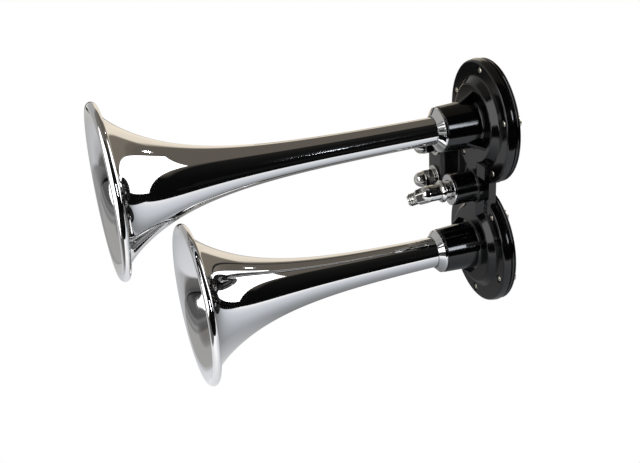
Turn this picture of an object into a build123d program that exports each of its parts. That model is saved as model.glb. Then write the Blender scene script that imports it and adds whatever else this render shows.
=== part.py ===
from build123d import *
import math
import os

# A twin-trumpet air horn. The trumpets point towards -Y, one above the other, and +Z is up.
# The pieces are modelled about the middle of the housing's front face and moved at the end,
# so that the origin is midway between the two mounting bolts, on the back of the bracket.
# All sizes are in millimetres.

# --- Horn axes -----------------------------------------------------------------------------
AXIS_SPACING = 102.5          # between the two trumpet axes
HORN_Z = AXIS_SPACING / 2

# --- Trumpets ------------------------------------------------------------------------------
# Outer radius, a distance s behind the lip: throat + flare * exp(-s / decay) + curl * exp(-s / 4)
UPPER_HORN = dict(lip_y=-278.6, lip_r=62.0, throat=9.95, flare=45.1, decay=45.7, curl=4.8)
LOWER_HORN = dict(lip_y=-227.8, lip_r=61.0, throat=11.0, flare=43.1, decay=46.0, curl=3.9)
CURL_DECAY = 4.0
BEAD_R = 3.2                  # section radius of the rolled lip
SHEET = 1.2                   # wall of the flare
THROAT_WALL = 2.6             # wall of the tail
WALL_DECAY = 40.0             # how quickly the tail's wall thins towards the flare
FLARE_START = 1.6             # where the flare leaves the rolled lip
FLARE_STEPS = 22              # points on each flare curve
BEAD_SEAM = (112.0, 130.0)    # open seam at the back of the rolled lip, degrees

# --- Collars -------------------------------------------------------------------------------
COLLAR_TOP_Y = -37.6
COLLAR_RIM_Y = -33.7
COLLAR_R = 16.8
COLLAR_LIP = 1.1              # step from the trumpet's tail to the cone
SPIGOT_R = 14.4               # part that screws into the socket
SPIGOT_END_Y = -21.0
SPIGOT_CLEARANCE = 0.1
TAIL_CLEARANCE = 0.2

# --- Housing -------------------------------------------------------------------------------
DISC_R = 47.3
DISC_EDGE = 1.8               # rounded front edge
BODY_BACK_Y = 6.2
PLATEAU_Y = -5.0
PLATEAU_R = 30.0
STEP_R = 34.5                 # foot of the cone that carries the plateau
SOCKET_TOP_Y = -32.0
SOCKET_TOP_R = 17.1
SOCKET_BASE_R = 18.4
SOCKET_FILLET = 2.1
SOCKET_RIM = 1.0
TAIL_END_Y = -8.0
SEAL_T = 2.0
NOZZLE_R = 9.6                # tube that the diaphragm closes
BORE_R = 6.4
CHAMBER_R = 31.5
CHAMBER_FRONT_Y = -2.0
WEB_HALF = 20.0               # half width of the web between the discs
WEB_FLARE = 23.0              # half width where it meets the discs
WEB_STRAIGHT = 9.0            # half height of the straight part
WEB_FLARE_Z = 11.7            # half height where the flare ends
CHANNEL_TOP = 8.5             # half width of the raised channel
CHANNEL_FOOT = 12.0
CHANNEL_GAP = 3.0             # from the channel's end to the socket
BOSS_R = 12.3
BOSS_TOP_Y = -22.5
BOSS_FILLET = 2.3
PASSAGE_R = 3.0               # air way from the inlet to both chambers
PASSAGE_Y = 0.6
RIB_TOP_Y = -17.0
RIB_REACH = 25.5
RIB_T = 3.0
RIB_TOP_STEP = 0.5            # width of the flat at the top of a rib
OVERLAP = 1.0                 # depth to which joined bodies run into each other
RIB_ANGLES = (90.0, -30.0, -150.0)

# --- Covers and their screws ----------------------------------------------------------------
SCREW_CIRCLE = 40.5
SCREW_ANGLES = [90.0 + 72.0 * i for i in range(5)]
SCREW_R = 2.45
SCREW_HOLE_R = 2.6
SCREW_SINK_R = 3.3
SCREW_SINK = 0.8
HEAD_R = 4.4
HEAD_H = 2.8
SCREW_TIP_Y = 0.3
RECESS_W = 1.0                # width of a cross recess
RECESS_REACH = 1.1            # length of a cross recess, as a share of the head's radius
DIAPHRAGM_R = 45.0
DIAPHRAGM_T = 0.3
GASKET_T = 0.5
COVER_R = 46.8
COVER_FRONT_Y = BODY_BACK_Y + DIAPHRAGM_T + GASKET_T
COVER_BACK_Y = 10.8
COVER_RECESS = 1.6
COVER_EDGE = 1.2
VENT_R = 1.5
VENT_OFFSET = 20.0

# --- Air inlet -------------------------------------------------------------------------------
NIPPLE_R = 7.0
NIPPLE_END_Y = -13.0
NIPPLE_TOP_Y = -28.9
INLET_WASHER_R = 12.0
INLET_WASHER_HOLE = 7.6
INLET_WASHER_T = 1.5
HEX_R = 8.6
HEX_TOP_Y = -32.0
ELBOW_R = 6.4
BEND_Y = -41.5
LEG_DIRECTION = (-0.53, -0.735, -0.42)
LEG_BODY = 9.3                # length of the tapered body past the bend
LEG_LENGTH = 16.0             # bend to the end of the outlet
LEG_BASE_R = 6.7
LEG_SHOULDER = 2.5            # straight start of the tapered body
OUTLET_R = 4.95
ELBOW_BORE_R = 2.8
NIPPLE_CLEARANCE = 0.1

# --- Mounting bracket ------------------------------------------------------------------------
PLATE = 2.5
STRAP_Y = -9.5                # front face of the strap
STRAP_LEFT = -68.3
LEG_X = -43.8
STRAP_HALF = 25.0
STRAP_CORNER = 6.0
BEND_IN = 1.5
TONGUE_END = 10.0
TONGUE_CLEARANCE = 0.4        # to the rear covers
TONGUE_CORNER = 2.0
BRACKET_SCREWS_X = (-15.0, 6.0)
BRACKET_SCREW_R = 1.95
BRACKET_HOLE_R = 2.2
BRACKET_SCREW_CLEARANCE = 0.05
BRACKET_HOLE_END_Y = 0.0
BRACKET_SCREW_TIP_Y = 0.5
BRACKET_HEAD_R = 4.0
BRACKET_HEAD_H = 2.6

# --- M8 fasteners ----------------------------------------------------------------------------
BOLT_X = -55.0
BOLT_HALF = 14.75             # half of the spacing of the two bolts
BOLT_R = 4.0
BOLT_HOLE_R = 4.3
HEX_AF = 13.0
BOLT_HEAD_H = 5.3
WASHER_R = 9.75
WASHER_HOLE_R = 4.2
WASHER_T = 2.0
LOCK_R = 7.4
LOCK_T = 2.0
LOCK_GAP = 1.6
LOCK_GAP_TURN = 35.0          # slant of the gap, degrees
LOCK_CLEARANCE = 0.1
NUT_H = 15.0
NUT_HEX_H = 7.4
NUT_DOME_R = 6.35
NUT_BORE_R = 4.05
NUT_BORE_DEPTH = 11.0
BOLT_TIP_GAP = 1.0            # from the bolt's tip to the end of the nut's bore
NUT_CHAMFER_H = 0.6
NUT_SEAT_CHAMFER = 0.7        # inwards from the hexagon's corners, on the seat
NUT_DOME_CHAMFER = 0.9        # the same, towards the dome
NUT_CORNER_MARGIN = 0.3

STRAP_BACK_Y = STRAP_Y + PLATE
ORIGIN = (BOLT_X, STRAP_BACK_Y, 0.0)


def turned(points):
    """Solid of revolution about the Y axis, from an outline of (radius, y) corners."""
    return revolve(make_face(Polyline(*points, close=True)), Axis.Y)


def tube(outer, inner, y0, y1):
    """Ring about the Y axis."""
    return turned([(inner, y0), (outer, y0), (outer, y1), (inner, y1)])


def rod(radius, y0, y1):
    """Round bar along the Y axis."""
    return turned([(0, y0), (radius, y0), (radius, y1), (0, y1)])


def hexagon(across_flats, y0, y1):
    """Hexagonal bar along the Y axis, with a flat facing +X."""
    outline = RegularPolygon(across_flats / 2, 6, major_radius=False, rotation=30)
    return Pos(0, y1, 0) * extrude(Plane.XZ * outline, y1 - y0)


def on_circle(radius, degrees):
    """Place on a circle about the Y axis, where 0 degrees is +X and 90 degrees is +Z."""
    turn = math.radians(degrees)
    return Pos(radius * math.cos(turn), 0, radius * math.sin(turn))


# --- Trumpets and collars --------------------------------------------------------------------
def flare_radius(horn, s):
    """Outer radius of a trumpet, a distance s behind its lip."""
    bell = horn["flare"] * math.exp(-s / horn["decay"])
    return horn["throat"] + bell + horn["curl"] * math.exp(-s / CURL_DECAY)


def flare_slope(horn, s):
    """Rate at which the outer radius changes with s."""
    bell = horn["flare"] / horn["decay"] * math.exp(-s / horn["decay"])
    return -bell - horn["curl"] / CURL_DECAY * math.exp(-s / CURL_DECAY)


def flare_points(horn):
    """Points on the outer and inner curves of a trumpet, closer together near the lip."""
    length = COLLAR_TOP_Y - horn["lip_y"]
    outer = []
    inner = []
    for i in range(FLARE_STEPS + 1):
        s = FLARE_START + (length - FLARE_START) * (i / FLARE_STEPS) ** 2
        r = flare_radius(horn, s)
        slope = flare_slope(horn, s)
        wall = THROAT_WALL + (SHEET - THROAT_WALL) * math.exp(-(s / WALL_DECAY) ** 2 / 2)
        across = wall / math.hypot(1, slope)
        outer.append((r, horn["lip_y"] + s))
        inner.append((r - across, horn["lip_y"] + s + slope * across))
    return outer, inner


def tail_radius(horn):
    """Outer radius of the trumpet's straight tail."""
    return flare_radius(horn, COLLAR_TOP_Y - horn["lip_y"])


def rolled_lip(horn):
    """Section of the sheet curled round at the mouth, with its seam open at the back."""
    ring = Circle(BEAD_R) - Circle(BEAD_R - SHEET)
    seam = [(2 * BEAD_R * math.cos(math.radians(a)), 2 * BEAD_R * math.sin(math.radians(a)))
            for a in BEAD_SEAM]
    ring -= make_face(Polyline((0, 0), *seam, close=True))
    return Pos(horn["lip_r"] - BEAD_R, horn["lip_y"]) * ring


def trumpet(horn):
    outer, inner = flare_points(horn)
    tail_out = outer[-1][0]
    tail_in = inner[-1][0]
    outline = [
        Spline(*outer),
        Line(outer[-1], (tail_out, TAIL_END_Y)),
        Line((tail_out, TAIL_END_Y), (tail_in, TAIL_END_Y)),
        Line((tail_in, TAIL_END_Y), inner[-1]),
        Spline(*reversed(inner)),
        Line(inner[0], outer[0]),
    ]
    section = make_face(outline) + rolled_lip(horn)
    return revolve(section, Axis.Y)


def collar(horn):
    tail = tail_radius(horn)
    return turned([
        (tail, COLLAR_TOP_Y), (tail + COLLAR_LIP, COLLAR_TOP_Y), (COLLAR_R, COLLAR_RIM_Y),
        (COLLAR_R, SOCKET_TOP_Y), (SPIGOT_R, SOCKET_TOP_Y), (SPIGOT_R, SPIGOT_END_Y),
        (tail, SPIGOT_END_Y)])


def throat_seal(horn):
    return tube(tail_radius(horn), BORE_R, TAIL_END_Y, TAIL_END_Y + SEAL_T)


# --- Housing ---------------------------------------------------------------------------------
def disc():
    """Flanged body of one horn, solid, with its socket."""
    body = turned([
        (0, SOCKET_TOP_Y), (SOCKET_TOP_R, SOCKET_TOP_Y), (SOCKET_BASE_R, PLATEAU_Y),
        (PLATEAU_R, PLATEAU_Y), (STEP_R, 0), (DISC_R, 0), (DISC_R, BODY_BACK_Y),
        (0, BODY_BACK_Y)])
    rings = body.edges().filter_by(GeomType.CIRCLE)
    body = fillet(rings.filter_by(lambda e: abs(e.radius - DISC_R) < 0.01).sort_by(Axis.Y)[0], DISC_EDGE)
    rings = body.edges().filter_by(GeomType.CIRCLE)
    body = fillet(rings.filter_by(lambda e: abs(e.radius - SOCKET_TOP_R) < 0.01), SOCKET_RIM)
    return body


def rib():
    """Gusset between a socket and its plateau, in the XY plane."""
    inside = SOCKET_TOP_R - OVERLAP
    outline = Polyline((inside, PLATEAU_Y + OVERLAP), (RIB_REACH, PLATEAU_Y + OVERLAP),
                       (RIB_REACH, PLATEAU_Y), (SOCKET_TOP_R + RIB_TOP_STEP, RIB_TOP_Y),
                       (inside, RIB_TOP_Y), close=True)
    return extrude(make_face(outline), RIB_T / 2, both=True)


def foot_ring(radius, size, y):
    """Concave fillet at the foot of a round boss that stands on the plane y."""
    top = (radius, y - size)
    edge = (radius + size, y)
    back = Polyline(edge, (radius - OVERLAP, y), (radius - OVERLAP, y - size), top)
    return revolve(make_face([RadiusArc(top, edge, size), back]), Axis.Y)


def web():
    """Plate that joins the two discs."""
    above = [(WEB_HALF, WEB_STRAIGHT), (WEB_FLARE, WEB_FLARE_Z), (WEB_FLARE, HORN_Z)]
    right = [(x, -z) for x, z in reversed(above)] + above
    left = [(-x, -z) for x, z in right]
    outline = Plane.XZ * make_face(Polyline(*right, *left, close=True))
    return Pos(0, BODY_BACK_Y, 0) * extrude(outline, BODY_BACK_Y)


def channel():
    """Raised air channel from one plateau to the other."""
    right = [(CHANNEL_TOP, PLATEAU_Y), (CHANNEL_FOOT, 0), (CHANNEL_FOOT, OVERLAP)]
    left = [(-x, y) for x, y in reversed(right)]
    half_length = HORN_Z - SOCKET_BASE_R - CHANNEL_GAP
    return extrude(make_face(Polyline(*right, *left, close=True)), half_length, both=True)


def horn_cuts(horn):
    """Everything hollow inside one horn's half of the housing."""
    chamber = tube(CHAMBER_R, NOZZLE_R, CHAMBER_FRONT_Y, BODY_BACK_Y)
    cuts = chamber + rod(SPIGOT_R + SPIGOT_CLEARANCE, SOCKET_TOP_Y, SPIGOT_END_Y)
    cuts += rod(tail_radius(horn) + TAIL_CLEARANCE, SPIGOT_END_Y - OVERLAP, TAIL_END_Y + SEAL_T)
    cuts += rod(BORE_R, TAIL_END_Y, BODY_BACK_Y)
    return cuts


def screw_cuts(angles):
    cuts = []
    for angle in angles:
        hole = rod(SCREW_HOLE_R, -OVERLAP, BODY_BACK_Y) + rod(SCREW_SINK_R, -OVERLAP, SCREW_SINK)
        cuts.append(on_circle(SCREW_CIRCLE, angle) * hole)
    return cuts


def mirrored(angles):
    return [-angle for angle in angles]


def front_housing():
    body = web() + channel()
    for side, angles in ((1, RIB_ANGLES), (-1, mirrored(RIB_ANGLES))):
        half = disc() + foot_ring(SOCKET_BASE_R, SOCKET_FILLET, PLATEAU_Y)
        for angle in angles:
            half += Rot(0, -angle, 0) * rib()
        body += Pos(0, 0, side * HORN_Z) * half
    body += rod(BOSS_R, BOSS_TOP_Y, 0) + foot_ring(BOSS_R, BOSS_FILLET, PLATEAU_Y)
    for side, horn, angles in ((1, UPPER_HORN, SCREW_ANGLES), (-1, LOWER_HORN, mirrored(SCREW_ANGLES))):
        body -= Pos(0, 0, side * HORN_Z) * horn_cuts(horn)
        for cut in screw_cuts(angles):
            body -= Pos(0, 0, side * HORN_Z) * cut
    inlet_way = rod(NIPPLE_R + NIPPLE_CLEARANCE, BOSS_TOP_Y, NIPPLE_END_Y)
    body -= inlet_way + rod(PASSAGE_R, NIPPLE_END_Y, PASSAGE_Y)
    body -= Pos(0, PASSAGE_Y, 0) * Cylinder(PASSAGE_R, 2 * (HORN_Z - CHAMBER_R + OVERLAP))
    screw_hole = rod(BRACKET_SCREW_R + BRACKET_SCREW_CLEARANCE, BRACKET_HOLE_END_Y, BODY_BACK_Y)
    for x in BRACKET_SCREWS_X:
        body -= Pos(x, 0, 0) * screw_hole
    return body


# --- Diaphragms, covers and their screws ------------------------------------------------------
def with_screw_holes(plate, angles, y0, y1):
    for angle in angles:
        plate -= on_circle(SCREW_CIRCLE, angle) * rod(SCREW_HOLE_R, y0, y1)
    return plate


def diaphragm(angles):
    back = BODY_BACK_Y + DIAPHRAGM_T
    return with_screw_holes(rod(DIAPHRAGM_R, BODY_BACK_Y, back), angles, BODY_BACK_Y, back)


def gasket(angles):
    front = BODY_BACK_Y + DIAPHRAGM_T
    return with_screw_holes(tube(DIAPHRAGM_R, CHAMBER_R, front, COVER_FRONT_Y), angles, front, COVER_FRONT_Y)


def rear_cover(angles):
    plate = rod(COVER_R, COVER_FRONT_Y, COVER_BACK_Y)
    plate = fillet(plate.edges().filter_by(GeomType.CIRCLE).sort_by(Axis.Y)[-1], COVER_EDGE)
    plate -= rod(CHAMBER_R, COVER_FRONT_Y, COVER_FRONT_Y + COVER_RECESS)
    plate -= Pos(0, 0, -VENT_OFFSET) * rod(VENT_R, COVER_FRONT_Y, COVER_BACK_Y)
    return with_screw_holes(plate, angles, COVER_FRONT_Y, COVER_BACK_Y)


def pan_screw(radius, tip_y, seat_y, head_r, head_h):
    """Cross-recessed pan head screw with its tip towards -Y."""
    shank = rod(radius, tip_y, seat_y)
    shank = chamfer(shank.edges().filter_by(GeomType.CIRCLE).sort_by(Axis.Y)[0], radius / 4)
    head = rod(head_r, seat_y, seat_y + head_h)
    head = fillet(head.edges().filter_by(GeomType.CIRCLE).sort_by(Axis.Y)[-1], head_h / 2)
    top = seat_y + head_h
    reach = head_r * RECESS_REACH
    for width, depth in ((reach, RECESS_W), (RECESS_W, reach)):
        head -= Pos(0, top, 0) * Box(width, head_h, depth)
    return shank + head


def cover_screws(angles, z):
    screw = pan_screw(SCREW_R, SCREW_TIP_Y, COVER_BACK_Y, HEAD_R, HEAD_H)
    return [Pos(0, 0, z) * on_circle(SCREW_CIRCLE, angle) * screw for angle in angles]


# --- Air inlet ---------------------------------------------------------------------------------
def inlet_washer():
    return tube(INLET_WASHER_R, INLET_WASHER_HOLE, BOSS_TOP_Y - INLET_WASHER_T, BOSS_TOP_Y)


def elbow_leg(points):
    """Turned piece along the elbow's second leg, from (radius, distance) corners."""
    leg = turned([(r, -d) for r, d in points])
    along = Vector(*LEG_DIRECTION)
    side = along.cross(Vector(0, 0, 1)).normalized()
    plane = Plane(origin=(0, BEND_Y, 0), x_dir=side, z_dir=side.cross(along * -1))
    return plane * leg


def inlet_elbow():
    body = rod(NIPPLE_R, NIPPLE_TOP_Y, NIPPLE_END_Y)
    body += hexagon(HEX_R * math.sqrt(3), HEX_TOP_Y, NIPPLE_TOP_Y)
    body += rod(ELBOW_R, BEND_Y, HEX_TOP_Y)
    body += Pos(0, BEND_Y, 0) * Sphere(ELBOW_R)
    body += elbow_leg([(0, 0), (LEG_BASE_R, 0), (LEG_BASE_R, LEG_SHOULDER), (OUTLET_R, LEG_BODY),
                       (OUTLET_R, LEG_LENGTH), (0, LEG_LENGTH)])
    body -= rod(ELBOW_BORE_R, BEND_Y, NIPPLE_END_Y)
    body -= elbow_leg([(0, 0), (ELBOW_BORE_R, 0), (ELBOW_BORE_R, LEG_LENGTH), (0, LEG_LENGTH)])
    body -= Pos(0, BEND_Y, 0) * Sphere(ELBOW_BORE_R)
    return body


# --- Mounting bracket and its fasteners ----------------------------------------------------------
def bracket_profile():
    """Section of the folded plate, seen from above."""
    front = [(STRAP_LEFT, STRAP_Y), (LEG_X, STRAP_Y), (LEG_X, BODY_BACK_Y), (TONGUE_END, BODY_BACK_Y)]
    back = [(STRAP_LEFT, STRAP_BACK_Y), (LEG_X - PLATE, STRAP_BACK_Y),
            (LEG_X - PLATE, BODY_BACK_Y + PLATE), (TONGUE_END, BODY_BACK_Y + PLATE)]
    face = make_face(Polyline(*front, *reversed(back), close=True))
    outside = [front[1], back[2]]
    inside = [back[1], front[2]]
    for corners, radius in ((outside, BEND_IN + PLATE), (inside, BEND_IN)):
        for corner in corners:
            vertex = face.vertices().sort_by_distance((*corner, 0))[0]
            face = fillet(vertex, radius)
    return face


def mounting_bracket():
    plate = extrude(bracket_profile(), STRAP_HALF, both=True)
    strap_corners = plate.edges().filter_by(Axis.Y).group_by(Axis.X)[0]
    plate = fillet(strap_corners, STRAP_CORNER)
    for side in (1, -1):
        plate -= Pos(0, 0, side * HORN_Z) * rod(COVER_R + TONGUE_CLEARANCE, -COVER_R, COVER_R)
        plate -= Pos(BOLT_X, 0, side * BOLT_HALF) * rod(BOLT_HOLE_R, STRAP_Y, STRAP_BACK_Y)
    for x in BRACKET_SCREWS_X:
        plate -= Pos(x, 0, 0) * rod(BRACKET_HOLE_R, BODY_BACK_Y, BODY_BACK_Y + PLATE)
    tip = plate.edges().filter_by(Axis.Y).group_by(Axis.X)[-1]
    return fillet(tip, TONGUE_CORNER)


def bracket_screws():
    seat_y = BODY_BACK_Y + PLATE
    screw = pan_screw(BRACKET_SCREW_R, BRACKET_SCREW_TIP_Y, seat_y, BRACKET_HEAD_R, BRACKET_HEAD_H)
    return [Pos(x, 0, 0) * screw for x in BRACKET_SCREWS_X]


def lock_washer(y0, y1):
    """Ring with a slanted gap."""
    ring = tube(LOCK_R, BOLT_R + LOCK_CLEARANCE, y0, y1)
    gap = Rot(LOCK_GAP_TURN, 0, 0) * Box(2 * BOLT_R, 3 * LOCK_T, LOCK_GAP)
    return ring - Pos((LOCK_R + BOLT_R) / 2, (y0 + y1) / 2, 0) * gap


def acorn_nut(seat_y):
    """Domed nut, closed at its -Y end."""
    end = seat_y - NUT_H + NUT_DOME_R
    hex_end = seat_y - NUT_HEX_H
    dome = rod(NUT_DOME_R, end, seat_y) + Pos(0, end, 0) * Sphere(NUT_DOME_R)
    corner = HEX_AF / math.sqrt(3)
    widest = corner + NUT_CORNER_MARGIN
    trimmed = turned([
        (0, seat_y), (corner - NUT_SEAT_CHAMFER, seat_y), (widest, seat_y - NUT_CHAMFER_H),
        (widest, hex_end + NUT_CHAMFER_H), (corner - NUT_DOME_CHAMFER, hex_end), (0, hex_end)])
    nut = dome + (hexagon(HEX_AF, hex_end, seat_y) & trimmed)
    return nut - rod(NUT_BORE_R, seat_y - NUT_BORE_DEPTH, seat_y)


def bolt_stack(z):
    """Bolt, flat washer, lock washer and acorn nut, from the strap's back to its front."""
    washer_y = STRAP_Y - WASHER_T
    lock_y = washer_y - LOCK_T
    bolt = rod(BOLT_R, lock_y - NUT_BORE_DEPTH + BOLT_TIP_GAP, STRAP_BACK_Y)
    bolt += hexagon(HEX_AF, STRAP_BACK_Y, STRAP_BACK_Y + BOLT_HEAD_H)
    washer = tube(WASHER_R, WASHER_HOLE_R, washer_y, STRAP_Y)
    lock = lock_washer(lock_y, washer_y)
    return [Pos(BOLT_X, 0, z) * piece for piece in (bolt, washer, lock, acorn_nut(lock_y))]


def make_part():
    nodes = {"front_housing": front_housing(), "inlet_washer": inlet_washer(), "inlet_elbow": inlet_elbow(),
             "mounting_bracket": mounting_bracket(), "bracket_screws": bracket_screws()}
    halves = (("upper", HORN_Z, UPPER_HORN, SCREW_ANGLES, BOLT_HALF),
              ("lower", -HORN_Z, LOWER_HORN, mirrored(SCREW_ANGLES), -BOLT_HALF))
    for name, z, horn, angles, bolt_z in halves:
        place = Pos(0, 0, z)
        nodes[name + "_trumpet"] = place * trumpet(horn)
        nodes[name + "_collar"] = place * collar(horn)
        nodes[name + "_throat_seal"] = place * throat_seal(horn)
        nodes[name + "_diaphragm"] = place * diaphragm(angles)
        nodes[name + "_gasket"] = place * gasket(angles)
        nodes[name + "_rear_cover"] = place * rear_cover(angles)
        nodes[name + "_cover_screws"] = cover_screws(angles, z)
        bolt, washer, lock, nut = bolt_stack(bolt_z)
        nodes[name + "_mount_bolt"] = bolt
        nodes[name + "_flat_washer"] = washer
        nodes[name + "_lock_washer"] = lock
        nodes[name + "_acorn_nut"] = nut
    return nodes


def write_parts(nodes):
    os.makedirs("parts", exist_ok=True)
    to_origin = Pos(*[-value for value in ORIGIN])
    for name, shape in nodes.items():
        solids = shape if isinstance(shape, list) else [shape]
        moved = [solid for piece in solids for solid in (to_origin * piece).solids()]
        export_step(Compound(children=moved) if len(moved) > 1 else moved[0], "parts/" + name + ".step")


write_parts(make_part())
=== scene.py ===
import math

import bpy
from mathutils import Matrix, Vector


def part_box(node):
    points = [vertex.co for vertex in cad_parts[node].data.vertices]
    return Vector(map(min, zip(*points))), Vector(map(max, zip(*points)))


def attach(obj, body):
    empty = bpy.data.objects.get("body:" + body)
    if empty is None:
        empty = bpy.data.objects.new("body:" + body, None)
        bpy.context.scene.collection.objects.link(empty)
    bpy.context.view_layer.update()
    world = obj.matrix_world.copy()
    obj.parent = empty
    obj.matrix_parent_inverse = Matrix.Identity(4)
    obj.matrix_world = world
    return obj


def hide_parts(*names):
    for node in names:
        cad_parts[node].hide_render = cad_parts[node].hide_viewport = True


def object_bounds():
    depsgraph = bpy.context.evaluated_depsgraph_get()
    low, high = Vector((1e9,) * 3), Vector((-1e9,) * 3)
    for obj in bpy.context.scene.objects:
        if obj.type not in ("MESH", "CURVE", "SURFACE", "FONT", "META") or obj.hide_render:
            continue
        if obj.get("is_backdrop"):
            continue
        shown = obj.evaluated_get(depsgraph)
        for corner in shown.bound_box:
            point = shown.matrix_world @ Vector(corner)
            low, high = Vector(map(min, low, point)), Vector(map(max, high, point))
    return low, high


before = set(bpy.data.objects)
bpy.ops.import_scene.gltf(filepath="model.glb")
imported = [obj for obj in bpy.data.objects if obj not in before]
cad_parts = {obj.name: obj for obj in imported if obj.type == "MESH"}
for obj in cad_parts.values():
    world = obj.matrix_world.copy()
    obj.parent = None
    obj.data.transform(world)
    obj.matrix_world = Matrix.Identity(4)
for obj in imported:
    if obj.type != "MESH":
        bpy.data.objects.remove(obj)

bl_info = {
    "name": "Twin Trumpet Air Horn",
    "version": (1, 0, 0),
    "blender": (4, 5, 0),
    "location": "View3D > Sidebar > Air Horn",
    "description": "Models and finishes a twin trumpet air horn around its construction model",
    "category": "Add Mesh",
}

MM = 0.001
SIDE = {"upper": 1, "lower": -1}
HALVES = tuple(SIDE)

# Places that every piece is set out from, in millimetres, read from the construction model.
COVER_LOW, COVER_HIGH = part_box("upper_rear_cover")
AXIS_X = (COVER_LOW.x + COVER_HIGH.x) / 2 / MM
AXIS_Z = (COVER_LOW.z + COVER_HIGH.z) / 2 / MM
BODY_DEPTH = 6.2
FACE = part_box("front_housing")[1].y / MM - BODY_DEPTH      # front plane of the discs' flanges
BOLT_LOW, BOLT_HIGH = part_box("upper_mount_bolt")
BOLT_X = (BOLT_LOW.x + BOLT_HIGH.x) / 2 / MM
BOLT_Z = (BOLT_LOW.z + BOLT_HIGH.z) / 2 / MM
STRAP_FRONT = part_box("mounting_bracket")[0].y / MM
LIP_FRONT = {half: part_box(half + "_trumpet")[0].y / MM for half in HALVES}

# Camera: its place from the middle of the housing's front face, in millimetres, and its three directions.
CAMERA_PLACE = (680.4, -348.0, 364.5)
CAMERA_RIGHT = (0.33192, 0.94188, -0.05191)
CAMERA_DOWN = (0.42521, -0.19851, -0.88306)
CAMERA_AHEAD = (-0.84204, 0.27103, -0.46638)


# --- Settings ----------------------------------------
class TrumpetSettings(bpy.types.PropertyGroup):
    """Sizes of the two trumpets."""

    upper_lip: bpy.props.FloatProperty(
        name="Upper lip radius", description="Outer radius of the long trumpet's mouth, in mm",
        default=62.0, min=40.0, max=90.0)
    lower_lip: bpy.props.FloatProperty(
        name="Lower lip radius", description="Outer radius of the short trumpet's mouth, in mm",
        default=61.0, min=40.0, max=90.0)
    bead: bpy.props.FloatProperty(
        name="Lip bead", description="Section radius of the rolled lip, in mm",
        default=3.2, min=1.0, max=6.0)
    wall: bpy.props.FloatProperty(
        name="Flare wall", description="Wall thickness of the flare, in mm",
        default=1.2, min=0.5, max=3.0)
    steps: bpy.props.IntProperty(
        name="Steps round", description="Faces round each trumpet", default=240, min=32, max=360)


class FinishSettings(bpy.types.PropertyGroup):
    """Colours and gloss of the finishes."""

    chrome: bpy.props.FloatVectorProperty(
        name="Chrome", description="Reflected colour of the chrome plating", subtype="COLOR",
        size=3, default=(0.62, 0.62, 0.625), min=0.0, max=1.0)
    enamel: bpy.props.FloatVectorProperty(
        name="Enamel", description="Colour of the black enamel", subtype="COLOR",
        size=3, default=(0.0012, 0.0012, 0.0014), min=0.0, max=1.0)
    enamel_gloss: bpy.props.FloatProperty(
        name="Enamel roughness", description="Roughness of the black enamel",
        default=0.12, min=0.0, max=1.0)
    zinc: bpy.props.FloatVectorProperty(
        name="Zinc", description="Colour of the zinc plated fasteners", subtype="COLOR",
        size=3, default=(0.62, 0.58, 0.50), min=0.0, max=1.0)


class StageSettings(bpy.types.PropertyGroup):
    """Camera and studio."""

    lens: bpy.props.FloatProperty(
        name="Lens", description="Focal length of the camera",
        default=61.2, min=10.0, max=300.0, unit="CAMERA")
    floor_drop: bpy.props.FloatProperty(
        name="Floor drop", description="Gap from the lowest point of the horn to the floor",
        default=0.006, min=0.0, max=1.0, unit="LENGTH")
    softbox: bpy.props.FloatProperty(
        name="Softbox strength", description="Brightness of the two softboxes",
        default=3.0, min=0.0, max=50.0)


# --- Modelling helpers ----------------------------------------
def deselect():
    bpy.ops.object.select_all(action="DESELECT")


def named(name):
    """The active object, given its name."""
    piece = bpy.context.active_object
    piece.name = name
    piece.data.name = name
    return piece


def make_active(piece):
    deselect()
    piece.select_set(True)
    bpy.context.view_layer.objects.active = piece


def apply_modifiers(piece):
    make_active(piece)
    for modifier in list(piece.modifiers):
        bpy.ops.object.modifier_apply(modifier=modifier.name)


def smooth(piece, degrees=32):
    make_active(piece)
    bpy.ops.object.shade_smooth_by_angle(angle=math.radians(degrees))


def round_edges(piece, width, segments=3, degrees=32):
    """Bevels every edge sharper than the angle, and shades the piece."""
    bevel = piece.modifiers.new("Bevel", "BEVEL")
    bevel.limit_method = "ANGLE"
    bevel.angle_limit = math.radians(degrees)
    bevel.width = width * MM
    bevel.segments = segments
    apply_modifiers(piece)
    smooth(piece, 40)


def rounded(outline, radii, segments=6):
    """Outline with some corners rounded: radii gives the radius for a corner's index."""
    points = []
    count = len(outline)
    for i, corner in enumerate(outline):
        if i not in radii:
            points.append(corner)
            continue
        here = Vector(corner)
        before = (Vector(outline[i - 1]) - here).normalized()
        after = (Vector(outline[(i + 1) % count]) - here).normalized()
        half = before.angle(after) / 2
        start = here + before * radii[i] / math.tan(half)
        middle = here + (before + after).normalized() * radii[i] / math.sin(half)
        spoke = start - middle
        sweep = math.pi - 2 * half
        if before.x * after.y - before.y * after.x > 0:
            sweep = -sweep
        for k in range(segments + 1):
            turn = sweep * k / segments
            points.append((middle.x + spoke.x * math.cos(turn) - spoke.y * math.sin(turn),
                           middle.y + spoke.x * math.sin(turn) + spoke.y * math.cos(turn)))
    return points


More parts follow.
